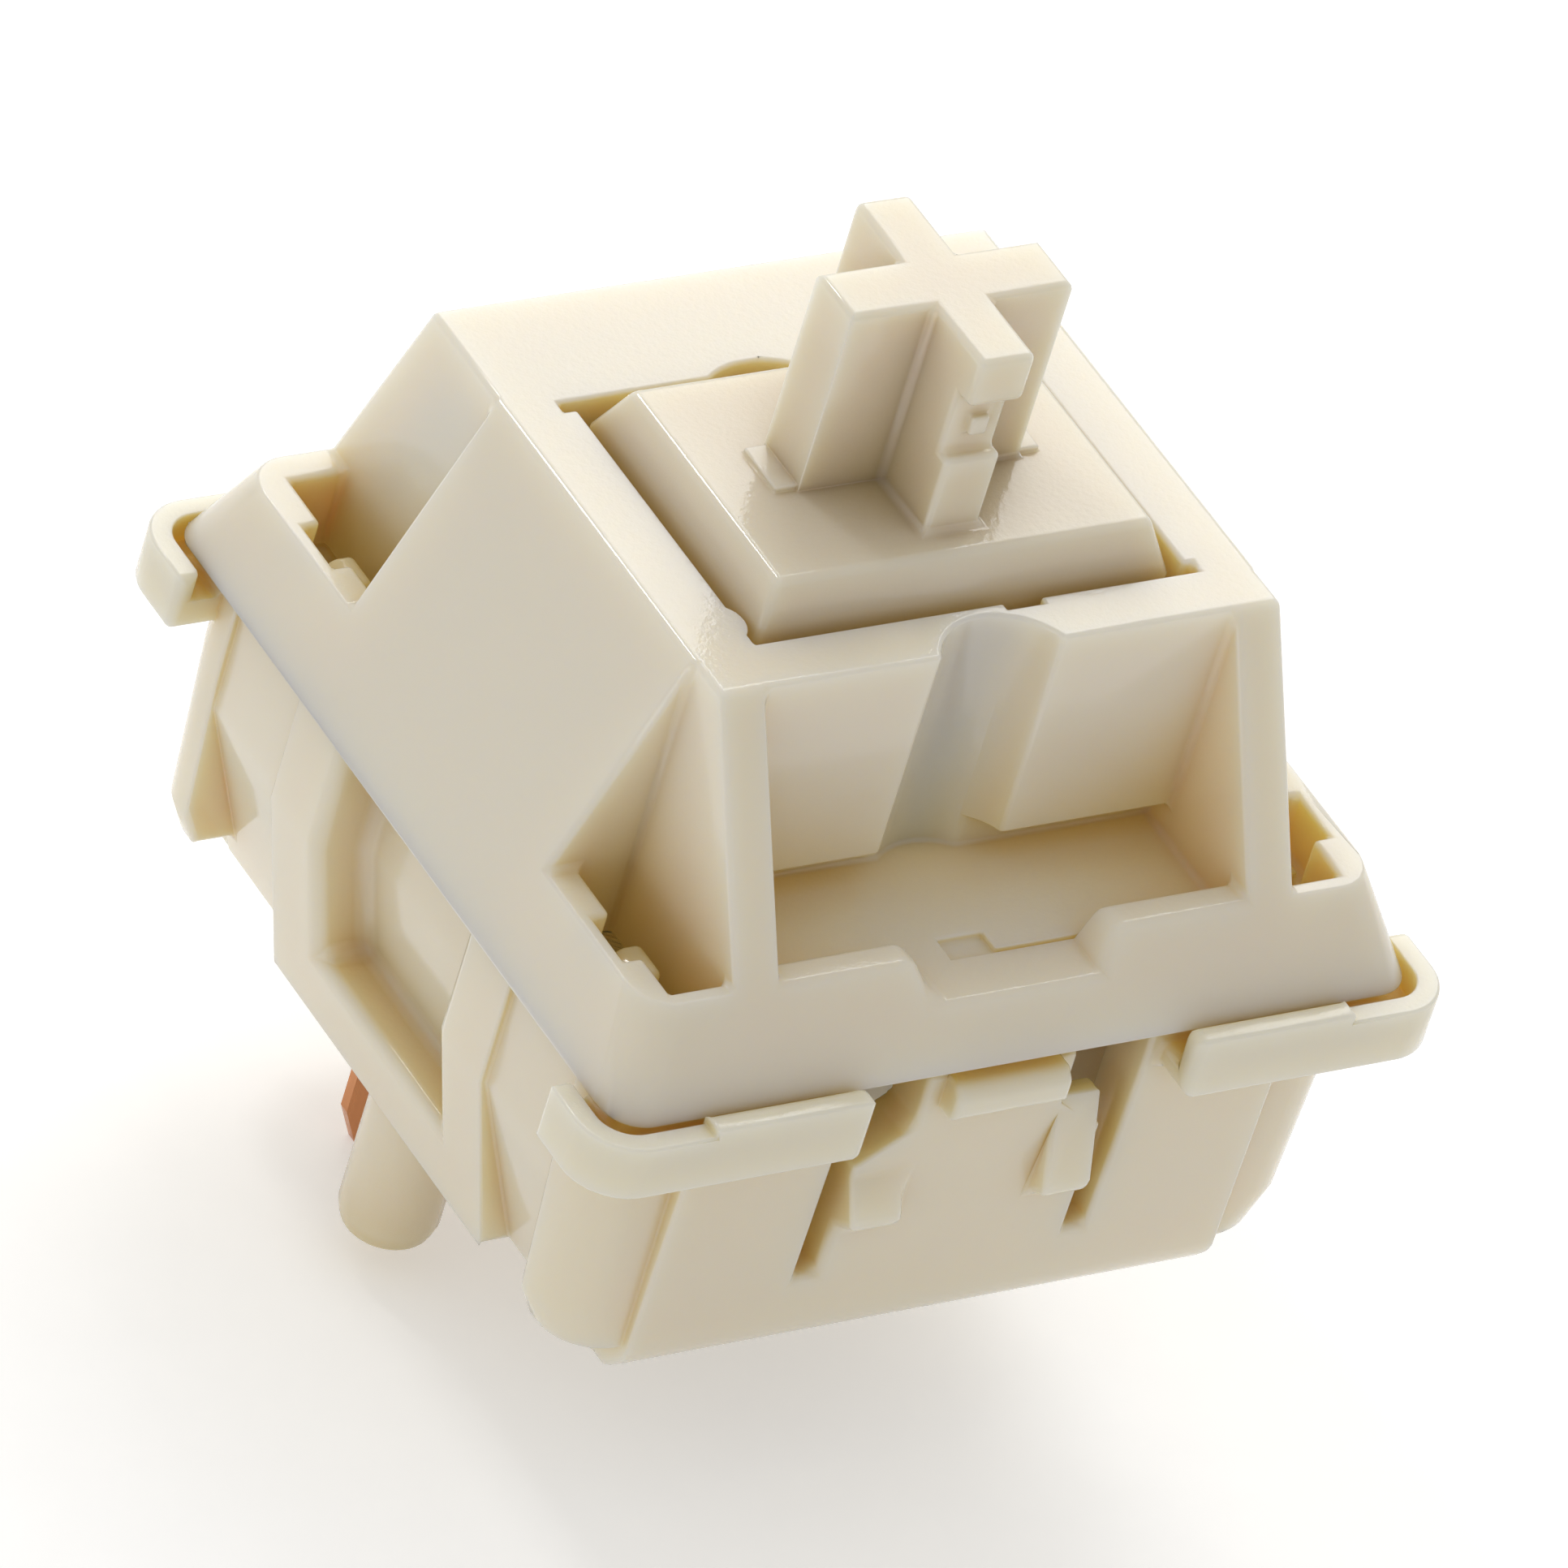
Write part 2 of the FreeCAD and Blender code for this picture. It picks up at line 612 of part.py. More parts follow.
def build_top_housing():
    """Mould the tapered cover with its corner pockets, lamp recess and stem opening."""
    body = new_body("top_housing")
    sides = [
        ("skirt_half", "wall_top"),
        ("notch_side", "roof_top"),
        ("-notch_side", "roof_top"),
        ("-skirt_half", "wall_top"),
    ]
    add(body, "cover", "y", "-skirt_half", "skirt_back", sides)
    front = [("-skirt_half", "wall_top"), ("-roof_front", "roof_top"), ("-skirt_half", "roof_top")]
    back = [("skirt_back", "wall_top"), ("skirt_back", "roof_top"), ("roof_back", "roof_top")]
    take(body, "front_and_back_slopes", "x", "-skirt_half", "skirt_half", front, back)
    notches = both("notch_side", "-skirt_half", "skirt_half", "-notch_front")
    notches += both("notch_side", "notch_back", "skirt_half", "skirt_back")
    take(body, "corner_notches", "z", "ledge_top", "roof_top", *notches)
    round_upright(body, "skirt_corners", "skirt_corner", 4)
    pockets = both("notch_side", "-pocket_front", "pocket_outer", "-notch_front")
    pockets += both("notch_side", "notch_back", "pocket_outer", "pocket_back")
    take(body, "latch_pockets", "z", "wall_top", "ledge_top", *pockets)
    slots = four("pocket_outer - 0.01", "slot_near", "slot_outer", "slot_far")
    take(body, "hook_slots", "z", "slot_floor", "ledge_top", *slots)

    sunk = rectangle("-pillar_inner", "-skirt_half", "pillar_inner", "-roof_front")
    take(body, "front_recess", "z", "ledge_top", "roof_top", sunk)
    tray = rectangle("-pillar_inner", "-tray_front", "pillar_inner", "-roof_front")
    take(body, "tray", "z", "tray_floor", "ledge_top", tray)
    gap = [
        ("-tab_gap", "tray_floor"),
        ("tab_gap", "tray_floor"),
        ("tab_gap + tab_lean", "ledge_top"),
        ("-tab_gap - tab_lean", "ledge_top"),
    ]
    take(body, "tab_gap_cut", "y", "-skirt_half", "-tray_front", gap)
    seam = [
        ("-seam_west", "-tray_front"),
        ("seam_east", "-tray_front"),
        ("seam_east", "seam_wide - tray_front"),
        ("seam_middle", "seam_wide - tray_front"),
        ("seam_middle", "pocket_wide - tray_front"),
        ("-seam_west", "pocket_wide - tray_front"),
    ]
    take(body, "tray_seam", "z", "tray_floor - seam_deep", "tray_floor", seam)
    under = rectangle("-pillar_inner", "-roof_front - 0.01", "pillar_inner", "undercut_deep - roof_front")
    take(body, "undercut", "z", "tray_floor", "undercut_top", under)
    channel = [("0", "tray_floor"), ("lamp_radius", "tray_floor"), ("lamp_radius", "roof_top"), ("0", "roof_top")]
    spin(body, "lamp_channel", "PartDesign::Groove", "0", "-lamp_place", channel)
    below = rectangle("-chamber_half", "-tray_front", "chamber_half", "-cavity_front - lamp_wall")
    take(body, "lamp_space", "z", "wall_top", "tray_under", below)

    opening = rectangle("-opening_half", "-opening_front", "opening_half", "opening_back")
    take(body, "stem_opening", "z", "roof_top - roof_thick", "roof_top", opening)
    reliefs = [
        rectangle("-opening_half - relief_out", "opening_back - relief_wide", "0.01 - opening_half", "opening_back"),
        rectangle("opening_half - 0.01", "-opening_front", "opening_half + relief_out", "relief_wide - opening_front"),
        rectangle("relief_near", "-opening_front - relief_deep", "relief_far", "0.01 - opening_front"),
    ]
    take(body, "opening_reliefs", "z", "roof_top - roof_thick", "roof_top", *reliefs)
    spin(
        body, "opening_arc", "PartDesign::Groove", "-arc_place", "opening_back + arc_deep - arc_radius",
        rectangle("0", "roof_top - roof_thick", "arc_radius", "roof_top"),
    )
    spin(
        body, "opening_bump", "PartDesign::Revolution", "-bump_middle", "-bump_place",
        rectangle("0", "roof_top - roof_thick", "bump_radius", "roof_top"),
    )
    hollow = [
        ("-opening_front", "wall_top"),
        ("skirt_back - back_wall", "wall_top"),
        ("hollow_back", "roof_top - roof_thick"),
        ("-opening_front", "roof_top - roof_thick"),
    ]
    take(body, "hollow", "x", "-hollow_half", "hollow_half", hollow)
    panels = [
        ("-(skirt_half - side_wall)", "wall_top"),
        ("skirt_half - side_wall", "wall_top"),
        ("hollow_half", "roof_top - roof_thick"),
        ("-hollow_half", "roof_top - roof_thick"),
    ]
    take(body, "panel_hollows", "y", "-hollow_panel", "hollow_panel", panels)
    return body


def build_stem():
    """Mould the key stem: cross, platform, shoulder, guide rails, pole and cam legs."""
    body = new_body("stem")
    under_roof = "roof_top - roof_thick - running_gap"
    shoulder = rectangle("-shoulder_half", "-shoulder_front", "shoulder_half", "shoulder_back")
    add(body, "shoulder", "z", "shoulder_low", under_roof, shoulder)
    neck = rectangle("-neck_half", "-neck_front", "neck_half", "neck_back")
    add(body, "neck", "z", under_roof, "neck_top", neck)
    foot = draw(body, "platform_foot", "z", "neck_top", [neck])
    top = draw(
        body, "platform_outline", "z", "platform_top",
        [rectangle("-platform_half", "-platform_front", "platform_half", "platform_back")],
    )
    platform = body.newObject("PartDesign::AdditiveLoft", "platform")
    platform.Profile = foot
    platform.Sections = [top]
    platform.Ruled = True
    thin, wide = "cross_thin / 2", "cross_wide / 2"
    quarter = [
        (thin, "cross_half"),
        (thin, wide),
        ("cross_half", wide),
    ]
    cross = list(quarter)
    cross += [(across, f"-({up})") for across, up in reversed(quarter)]
    cross += [(f"-({across})", f"-({up})") for across, up in quarter]
    cross += [(f"-({across})", up) for across, up in reversed(quarter)]
    add(body, "cross", "z", "platform_top", "stem_top", cross)
    nose = rectangle("-cross_half", "block_top", "-cross_half + nose_recess", "nose_low")
    take(body, "nose_recess_cut", "x", "-" + thin, thin, nose)
    pip = rectangle("-pip_half", "pip_low", "pip_half", "pip_high")
    add(body, "pip", "y", "nose_recess - pip_out - cross_half", "nose_recess + 0.01 - cross_half", pip)
    block = rectangle("-cross_half", "platform_top", "-cross_half + block_back", "block_top")
    take(body, "block_cut", "x", "-" + thin, thin, block)
    pads = both("cross_half - 0.1", "-pad_half", "pad_outer", "pad_half")
    add(body, "pads", "z", "platform_top", "platform_top + pad_rise", *pads)
    rails = both("rail_inner", "-rail_half", "rail_outer", "rail_half")
    add(body, "rails", "z", "rail_low", under_roof, *rails)
    slope = "cam_fall / travel"
    leg = [
        ("leg_back", "leg_low"),
        ("leg_face - 0.2", "leg_low"),
        ("leg_face", "leg_low + 0.3"),
        ("leg_face", "cam_low"),
        (f"leg_face - {slope} * ({under_roof} - cam_low)", under_roof),
        ("shoulder_back - 0.1", under_roof),
        ("shoulder_back - 0.1", "shoulder_low"),
        ("leg_back", "shoulder_low"),
    ]
    add(body, "east_leg", "x", "leg_inner", "leg_outer", leg)
    add(body, "west_leg", "x", "-leg_outer", "-leg_inner", leg)
    pole = [
        ("0", "pole_low"),
        ("pole_radius - 0.2", "pole_low"),
        ("pole_radius", "pole_low + 0.2"),
        ("pole_radius", "shoulder_low + 0.1"),
        ("0", "shoulder_low + 0.1"),
    ]
    spin(body, "pole", "PartDesign::Revolution", "0", "0", pole)
    return body


def build_return_spring():
    """Sweep the round wire along the coil's helix."""
    end = size("wire_radius") + size("seat_gap")
    low = size("floor_top") + end
    length = size("shoulder_low") - end - low
    radius = size("coil_radius")
    helix = Part.makeHelix(length / size("coil_turns"), length, radius)
    section = Part.Wire(
        Part.makeCircle(size("wire_radius"), FreeCAD.Vector(radius, 0, 0), FreeCAD.Vector(0, 1, 0)),
    )
    coil = Part.Wire(helix.Edges).makePipeShell([section], True, True)
    coil.translate(FreeCAD.Vector(0, 0, low))
    spring = doc.addObject("Part::Feature", "return_spring")
    spring.Label = "return_spring"
    spring.Shape = coil
    return spring


def add_pin(body, place):
    """Add the solder pin under a contact plate, with its tapered end."""
    half = "pin_width / 2"
    pin = [
        (f"{place}_pin_x - {half}", "floor_top + 0.01"),
        (f"{place}_pin_x - {half}", "pin_point - pin_depth"),
        (f"{place}_pin_x - {half} / 2", "-pin_depth"),
        (f"{place}_pin_x + {half} / 2", "-pin_depth"),
        (f"{place}_pin_x + {half}", "pin_point - pin_depth"),
        (f"{place}_pin_x + {half}", "floor_top + 0.01"),
    ]
    near, far = (f"{place}_pin_y {sign} sheet_thick / 2" for sign in "-+")
    add(body, "pin", "y", near, far, pin)


def build_fixed_contact():
    """Stamp the fixed contact: a plate, a jogged tongue and its solder pin."""
    body = new_body("fixed_contact")
    near, far = "west_pin_y - sheet_thick / 2", "west_pin_y + sheet_thick / 2"
    plate = rectangle("-fixed_far", "floor_top", "tongue_wide", "fixed_top")
    add(body, "plate", "y", near, far, plate)
    jog = "fixed_top + tongue_rise"
    tongue = [
        (near, "fixed_top - 0.1"),
        (far, "fixed_top - 0.1"),
        (far, "fixed_top"),
        (f"{far} + tongue_shift", jog),
        (f"{far} + tongue_shift", "fixed_tip"),
        (f"{near} + tongue_shift", "fixed_tip"),
        (f"{near} + tongue_shift", f"{jog} + 0.1"),
        (near, "fixed_top + 0.1"),
    ]
    add(body, "tongue", "x", "-tongue_wide", "tongue_wide", tongue)
    add_pin(body, "west")
    return body


def build_terminal():
    """Stamp the terminal that carries the moving leaf, with its solder pin."""
    body = new_body("moving_contact_terminal")
    plate = [
        ("-terminal_foot", "floor_top"),
        ("terminal_outer", "floor_top"),
        ("terminal_outer", "terminal_top"),
        ("terminal_inner", "terminal_top"),
        ("terminal_inner", "foot_top"),
        ("-terminal_foot", "foot_top"),
    ]
    near, far = "east_pin_y - sheet_thick / 2", "east_pin_y + sheet_thick / 2"
    add(body, "plate", "y", near, far, plate)
    add_pin(body, "east")
    return body


def leaf_middle(height):
    """Give the leaf's middle line as a Y formula at one height."""
    return f"leaf_root_y - leaf_lean * ({height} - leaf_root_z)"


def build_leaf():
    """Stamp the leaf: a leaning strip from its rolled root to the knee, with a turned-back lip."""
    body = new_body("moving_contact_leaf")
    half = "leaf_thick / 2"
    knee = leaf_middle("knee_z")
    strip = [
        (f"leaf_root_y - {half}", "leaf_root_z"),
        (f"leaf_root_y + {half}", "leaf_root_z"),
        (f"{knee} + {half}", "knee_z"),
        (f"{knee} + {half} + lip_back", "knee_z + lip_rise"),
        (f"{knee} - {half} + lip_back", "knee_z + lip_rise + 0.05"),
        (f"{knee} - {half}", "knee_z"),
    ]
    add(body, "strip", "x", "-leaf_half", "leaf_half", strip)
    roll(body, "root", "leaf_root_y", "leaf_root_z", half, "-leaf_half", "leaf_half")
    return body


def build_bead(label, face, thick, direction):
    """Make one rounded contact bead whose flat back lies on a contact's face."""
    body = new_body(label)
    steps = (("bead_radius", "0"), ("bead_radius", "0.4"), ("bead_radius * 0.85", "0.75"))
    far = [(radius, f"{face} {direction} {thick} * {share}") for radius, share in steps]
    far.append(("bead_radius * 0.5", f"{face} {direction} {thick}"))
    outline = [("0", face)] + far + [("0", f"{face} {direction} {thick}")]
    shifted = [(radius, along) for radius, along in outline]
    sketch = draw(body, "profile", "z", "bead_z", [shifted])
    bead = body.newObject("PartDesign::Revolution", "bead")
    bead.Profile = sketch
    bead.ReferenceAxis = (sketch, ["V_Axis"])
    bead.Angle = 360
    return body


pieces = [
    build_bottom_housing(),
    build_top_housing(),
    build_stem(),
    build_return_spring(),
    build_fixed_contact(),
    build_bead(
        "fixed_contact_bead", "west_pin_y + sheet_thick / 2 + tongue_shift", "fixed_bead", "+",
    ),
    build_terminal(),
    build_leaf(),
    build_bead(
        "moving_contact_bead", f"{leaf_middle('bead_z')} - leaf_thick * 0.52", "moving_bead", "-",
    ),
]
doc.recompute()

for item in doc.Objects:
    if "Invalid" in item.State or "Error" in item.State:
        raise RuntimeError(f"{item.Label} did not build: {item.State}")

os.makedirs("parts", exist_ok=True)
for piece in pieces:
    shape = piece.Shape
    if shape.isNull() or not shape.isValid() or len(shape.Solids) != 1:
        raise RuntimeError(f"{piece.Label} is not one valid solid")
    shape.exportStep(f"parts/{piece.Label}.step")
    print(piece.Label, round(shape.Volume, 3))
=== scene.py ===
"""The key switch's looks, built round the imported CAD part. All lengths are in metres."""

import math

import bmesh
import bpy
import numpy as np
from mathutils import Matrix, Vector


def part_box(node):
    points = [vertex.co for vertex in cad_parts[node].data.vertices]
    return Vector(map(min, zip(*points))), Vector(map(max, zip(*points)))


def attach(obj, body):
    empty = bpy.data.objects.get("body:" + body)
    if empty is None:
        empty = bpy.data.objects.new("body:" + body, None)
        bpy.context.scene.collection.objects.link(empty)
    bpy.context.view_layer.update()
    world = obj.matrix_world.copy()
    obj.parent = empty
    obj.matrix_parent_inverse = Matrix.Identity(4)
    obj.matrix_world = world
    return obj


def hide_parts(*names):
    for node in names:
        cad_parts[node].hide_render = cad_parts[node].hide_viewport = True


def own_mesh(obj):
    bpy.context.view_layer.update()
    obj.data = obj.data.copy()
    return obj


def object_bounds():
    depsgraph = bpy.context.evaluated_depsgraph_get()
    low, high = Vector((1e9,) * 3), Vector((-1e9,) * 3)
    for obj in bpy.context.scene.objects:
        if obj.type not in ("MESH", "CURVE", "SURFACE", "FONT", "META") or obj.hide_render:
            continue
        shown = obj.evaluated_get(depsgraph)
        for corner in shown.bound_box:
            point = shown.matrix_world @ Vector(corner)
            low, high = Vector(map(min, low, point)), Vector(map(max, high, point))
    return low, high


bl_info = {
    "name": "Key switch",
    "version": (1, 0, 0),
    "blender": (4, 5, 0),
    "location": "3D View > Sidebar > Switch",
    "description": "Builds a moulded keyboard switch, its materials and its studio",
    "category": "Object",
}

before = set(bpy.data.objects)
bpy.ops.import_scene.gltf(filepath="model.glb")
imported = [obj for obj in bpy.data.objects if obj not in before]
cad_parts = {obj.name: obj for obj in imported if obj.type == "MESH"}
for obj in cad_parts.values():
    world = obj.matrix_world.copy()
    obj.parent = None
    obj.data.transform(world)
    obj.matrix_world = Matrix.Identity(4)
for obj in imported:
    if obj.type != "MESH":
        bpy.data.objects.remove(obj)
cad_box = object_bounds()

MM = 0.001

# An edge that turns more than this is rounded. Its rounding may take these shares of the way to
# the next rounded edge, and to the next edge that stays as it is.
SHARP_ANGLE = math.radians(24)
SHARED_ROOM = 0.42
FREE_ROOM = 0.85

# Boxes in millimetres, each with the wider rounding of the edges inside it in metres.
COVER_SOFT = (
    ((0.8, -4.0, 7.2), (1.5, -3.8, 11.5), 0.40 * MM),  # east edge of the lamp channel
    ((-2.1, -7.4, 6.8), (-1.3, -5.7, 7.6), 0.30 * MM),  # west tab's end
    ((1.3, -7.4, 6.8), (2.1, -5.7, 7.6), 0.22 * MM),  # east tab's end
)

# Name, place and size in metres, and watts of each lamp. A large soft box stands behind the
# switch and shines on its tops, a small lamp beside it draws bright lines along the rounded
# edges, and a pale card fills in from the left.
LAMPS = (
    ("back_lamp", (0.090, 0.119, 0.142), (0.13, 0.13), 0.15),
    ("edge_lamp", (-0.038, 0.124, 0.154), (0.026, 0.026), 0.045),
    ("left_card", (-0.17, -0.06, 0.0), (0.14, 0.05), 0.035),
)
LAMP_TARGET = (0.0, 0.0, 5 * MM)
SKY_COLOUR = (1.0, 0.99, 0.965, 1.0)
SKY_LIGHT = 0.53
FLOOR_HALF = 2.0
FLOOR_GLOW = 0.35

# The camera's place in millimetres and its directions, and its focal length in pixels of the
# photograph's width.
CAMERA_PLACE = (-141.16, -164.66, 170.14)
CAMERA_RIGHT = (0.8431, -0.4798, 0.2428)
CAMERA_FORWARD = (0.5183, 0.6046, -0.6049)
FOCAL_PIXELS = 21682.3
PHOTO_PIXELS = 1932
SENSOR_WIDTH = 36.0


# Numbers and colours

def linear(code):
    """Turn a hex colour as seen on screen into linear red, green, blue and alpha."""
    parts = np.array([int(code[i:i + 2], 16) for i in (1, 3, 5)]) / 255
    curved = np.where(parts <= 0.04045, parts / 12.92, ((parts + 0.055) / 1.055) ** 2.4)
    return (*curved.tolist(), 1.0)


# Node graphs

def node(tree, kind, settings=None, **links):
    """Add a node with its settings and input values, and link the sockets given by name."""
    made = tree.nodes.new("ShaderNode" + kind)
    for key, value in (settings or {}).items():
        if isinstance(key, int) or key in made.inputs:
            made.inputs[key].default_value = value
        else:
            setattr(made, key, value)
    for key, source in links.items():
        target = made.inputs[int(key[1:])] if key[0] == "_" else made.inputs[key.replace("_", " ")]
        tree.links.new(source, target)
    return made


def new_material(name):
    """Make an empty node material with its output, and give both."""
    material = bpy.data.materials.new(name)
    material.use_nodes = True
    material.node_tree.nodes.clear()
    return material, material.node_tree


def moulded_plastic(name, colour, painted_pocket_shade, gloss, open_share):
    """Injection-moulded thermoplastic: light goes a little way in and comes out warmer, pockets get a
    painted amber shade and a faint painted glow, and the spark-eroded mould leaves a fine grain that
    sparkles on flat tops."""
    material, tree = new_material(name)
    place = node(tree, "TexCoord").outputs["Object"]
    # Mould grain is about 0.05 mm across and is drawn at 0.11 mm, so that it shows.
    fine = node(tree, "TexNoise", {"Scale": 9000.0, "Detail": 2.0, "Roughness": 0.6}, Vector=place)
    # The walls sink a little where they are thick, in waves about 2 mm across.
    broad = node(tree, "TexNoise", {"Scale": 420.0, "Detail": 3.0, "Roughness": 0.5}, Vector=place)
    # Painted shade: where ambient occlusion within 3 mm finds a pocket, the colour is mixed towards the
    # painted amber pocket shade.
    shut = node(tree, "AmbientOcclusion", {"samples": 6, "Distance": 3.0 * MM})
    pocket = node(tree, "MapRange", {1: open_share, 2: 0.1, 3: 0.0, 4: 1.0}, _0=shut.outputs["AO"])
    tint = node(
        tree, "Mix", {"data_type": "RGBA", 6: linear(colour), 7: linear(painted_pocket_shade)},
        _0=pocket.outputs[0],
    )
    # Painted glow: the most shut-in corners, as ambient occlusion finds them, give off a faint amber
    # emission.
    deep = node(tree, "MapRange", {1: 0.3, 2: 0.02, 3: 0.0, 4: 0.06}, _0=shut.outputs["AO"])
    facing = node(tree, "SeparateXYZ", _0=node(tree, "NewGeometry").outputs["Normal"])
    top = node(tree, "MapRange", {1: 0.95, 2: 0.99, 3: 0.02, 4: 0.6}, _0=facing.outputs["Z"])
    rough = node(
        tree, "MapRange", {1: 0.3, 2: 0.7, 3: gloss - 0.04, 4: gloss + 0.06}, _0=fine.outputs[0],
    )
    grain = node(
        tree, "Bump", {"Distance": 0.012 * MM}, Height=fine.outputs[0], Strength=top.outputs[0],
    )
    wave = node(
        tree, "Bump", {"Strength": 0.2, "Distance": 0.03 * MM},
        Height=broad.outputs[0], Normal=grain.outputs[0],
    )
    shader = node(
        tree, "BsdfPrincipled",
        {
            "IOR": 1.5,
            "Subsurface Weight": 1.0,
            "Subsurface Radius": (1.0, 0.92, 0.7),
            "Subsurface Scale": 0.9 * MM,
            # Colour of the painted glow in the shut-in corners.
            "Emission Color": linear("#D0B060"),
        },
        Base_Color=tint.outputs[2], Roughness=rough.outputs[0], Normal=wave.outputs[0],
        Emission_Strength=deep.outputs[0],
    )
    node(tree, "OutputMaterial", Surface=shader.outputs[0])
    return material


def rolled_metal(name, colour, roughness, length):
    """Rolled or drawn metal: bright, with fine lines along the way it was worked."""
    material, tree = new_material(name)
    place = node(tree, "TexCoord").outputs["Object"]
    stretched = node(tree, "Mapping", {"Scale": length}, Vector=place)
    lines = node(tree, "TexNoise", {"Scale": 9000.0, "Detail": 3.0}, Vector=stretched.outputs[0])
    rough = node(
        tree, "MapRange", {1: 0.3, 2: 0.7, 3: roughness - 0.08, 4: roughness + 0.1}, _0=lines.outputs[0],
    )
    bump = node(tree, "Bump", {"Strength": 0.2, "Distance": 0.002 * MM}, Height=lines.outputs[0])
    shader = node(
        tree, "BsdfPrincipled", {"Base Color": linear(colour), "Metallic": 1.0},
        Roughness=rough.outputs[0], Normal=bump.outputs[0],
    )
    node(tree, "OutputMaterial", Surface=shader.outputs[0])
    return material


def paper_floor(name):
    """Matt white card: it takes the shadow, and shows white to the camera where it is lit."""
    material, tree = new_material(name)
    paths = node(tree, "LightPath")
    place = node(tree, "TexCoord").outputs["Object"]
    # Card fibres lie in clouds about 1 mm across.
    grain = node(tree, "TexNoise", {"Scale": 900.0, "Detail": 2.0}, Vector=place)
    shade = node(tree, "MapRange", {3: 0.90, 4: 0.94}, _0=grain.outputs[0])
    card = node(tree, "BsdfDiffuse", Color=shade.outputs[0])
    glow = node(tree, "Emission", {"Color": (1, 1, 1, 1)})
    seen = node(
        tree, "Math", {"operation": "MAXIMUM"},
        _0=paths.outputs["Is Camera Ray"], _1=paths.outputs["Is Glossy Ray"],
    )
    part = node(tree, "Math", {"operation": "MULTIPLY", 1: FLOOR_GLOW}, _0=seen.outputs[0])
    tree.links.new(part.outputs[0], glow.inputs["Strength"])
    both = node(tree, "AddShader", _0=card.outputs[0], _1=glow.outputs[0])
    node(tree, "OutputMaterial", Surface=both.outputs[0])
    return material


# Meshes

def merged_copy(name, label):
    """Copy a CAD node's mesh, with its loose triangles merged and its flat faces made whole."""
    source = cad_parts[name]
    mesh = bpy.data.meshes.new(label)
    work = bmesh.new()
    work.from_mesh(source.data)
    bmesh.ops.remove_doubles(work, verts=work.verts, dist=0.002 * MM)
    bmesh.ops.dissolve_limit(work, angle_limit=0.01, verts=work.verts, edges=work.edges)
    for face in work.faces:
        face.smooth = True
    work.to_mesh(mesh)
    work.free()
    piece = bpy.data.objects.new(label, mesh)
    bpy.context.scene.collection.objects.link(piece)
    return piece


def away(point, edge):
    """Give the distance from a point to an edge."""
    start, end = (corner.co for corner in edge.verts)
    way = end - start
    share = (point - start).dot(way) / way.length_squared
    return (point - start - way * max(0.0, min(1.0, share))).length


def room_beside(edge, sharp):
    """Find how wide an edge can be rounded before it meets another edge of its own faces."""
    room = math.inf
    for face in edge.link_faces:
        for near in face.edges:
            if near is edge:
                continue
            ends = [(corner.co, edge) for corner in near.verts]
            ends += [(corner.co, near) for corner in edge.verts]
            shared = set(edge.verts) & set(near.verts)
            if shared:
                corner = shared.pop()
                here = edge.other_vert(corner).co
                there = near.other_vert(corner).co
                if (here - corner.co).normalized().dot((there - corner.co).normalized()) < -0.9:
                    continue
                ends = [(there, edge), (here, near)]
            share = SHARED_ROOM if near in sharp else FREE_ROOM
            room = min(room, share * min(away(point, other) for point, other in ends))
    return room


def round_edges(piece, width, soft=(), segments=3):
    """Round the sharp edges by the width, or in each soft box by its own width, and never by
    more than the neighbours leave room for."""
    widest = max([width] + [wide for _, _, wide in soft])
    work = bmesh.new()
    work.from_mesh(piece.data)
    weight = work.edges.layers.float.new("bevel_weight_edge")
    sharp = {
        edge for edge in work.edges if edge.is_manifold and edge.calc_face_angle() > SHARP_ANGLE
    }
    for edge in sharp:
        ends = np.array([corner.co for corner in edge.verts]) / MM
        wanted = [wide for low, high, wide in soft if (ends > low).all() and (ends < high).all()]
        wide = wanted[0] if wanted else width
        edge[weight] = min(wide, room_beside(edge, sharp)) / widest
    work.to_mesh(piece.data)
    work.free()
    bevel = piece.modifiers.new("edge_round", "BEVEL")
    bevel.width = widest
    bevel.segments = segments
    bevel.limit_method = "WEIGHT"
    bevel.use_clamp_overlap = False
    flat = piece.modifiers.new("flat_faces", "WEIGHTED_NORMAL")
    flat.mode = "FACE_AREA_WITH_ANGLE"


def coil_mesh(name, low, high, radius, wire, turns):
    """Make a coil of round wire. The wire's middle goes round at the radius, and rises a wire's
    width in the first and the last turn and evenly between them. About each of its points runs a
    circle spanned by the way outwards and the cross product of the wire's way and that."""
    turn = np.linspace(0, turns, 40 * turns + 1)
    closed = 2.1 * wire
    rise = np.interp(turn, (0, 1, turns - 1, turns), (low, low + closed, high - closed, high))
    angle = 2 * np.pi * turn
    out = np.stack((np.cos(angle), np.sin(angle), np.zeros_like(angle)), axis=1)
    middle = radius * out + np.stack((0 * rise, 0 * rise, rise), axis=1)
    side = np.cross(np.gradient(middle, axis=0), out)
    side /= np.linalg.norm(side, axis=1, keepdims=True)
    around = np.linspace(0, 2 * np.pi, 12, endpoint=False)[None, :, None]
    points = middle[:, None] + wire * (np.cos(around) * out[:, None] + np.sin(around) * side[:, None])
    rings, count = points.shape[:2]
    index = np.arange(rings * count).reshape(rings, count)
    beside = np.roll(index, -1, axis=1)
    sides = np.stack((index[:-1], beside[:-1], beside[1:], index[1:]), axis=-1).reshape(-1, 4)
    mesh = bpy.data.meshes.new(name)
    faces = sides.tolist() + [index[0, ::-1].tolist(), index[-1].tolist()]
    mesh.from_pydata(points.reshape(-1, 3).tolist(), [], faces)
    mesh.polygons.foreach_set("use_smooth", np.arange(len(faces)) < len(sides))
    return mesh


def finish_piece(piece, body, node_name, material):
    """Give the piece its material and body, and hide the CAD node that it stands for."""
    piece.data.materials.clear()
    piece.data.materials.append(material)
    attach(piece, body)
    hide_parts(node_name)


# Settings

